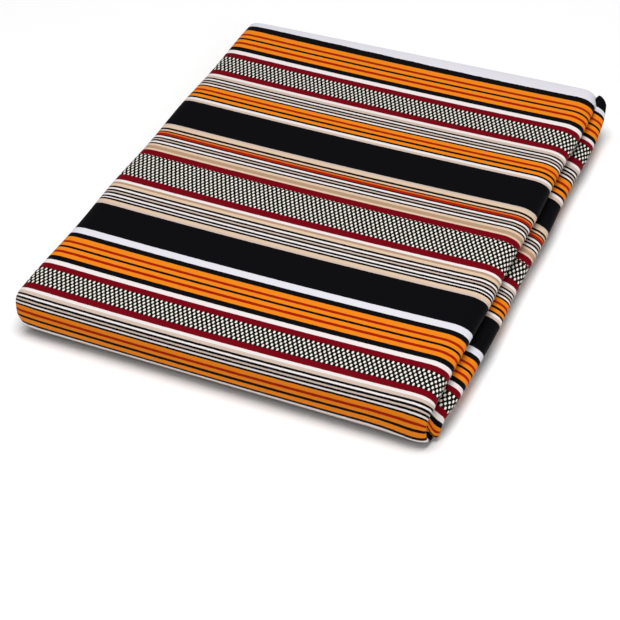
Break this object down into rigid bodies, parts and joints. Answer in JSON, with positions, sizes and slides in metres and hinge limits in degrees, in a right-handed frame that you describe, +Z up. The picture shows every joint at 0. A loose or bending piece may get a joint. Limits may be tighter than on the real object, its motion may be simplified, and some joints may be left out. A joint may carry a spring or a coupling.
{
  "type": "folded wax print cloth",
  "caption": "Folded length of striped wax print cotton, a flat soft bundle with rounded folds along one side and a big rounded front fold.",
  "frame": {"origin": "under the middle of the folded cloth, on the surface that it lies on", "axes": "+X along the stripes towards the rolled folds on the right, +Y across the stripes to the back, away from the big front fold, +Z up"},
  "size_m": [0.3102, 0.4074, 0.0417],
  "materials": {
    "printed_cotton": "smooth waxed plain-weave cotton with a soft sheen, printed in stripes of black, orange, crimson, beige and white with bands of small checks"
  },
  "bodies": {
    "root": {"folded_cloth": "printed_cotton"}
  },
  "joints": []
}
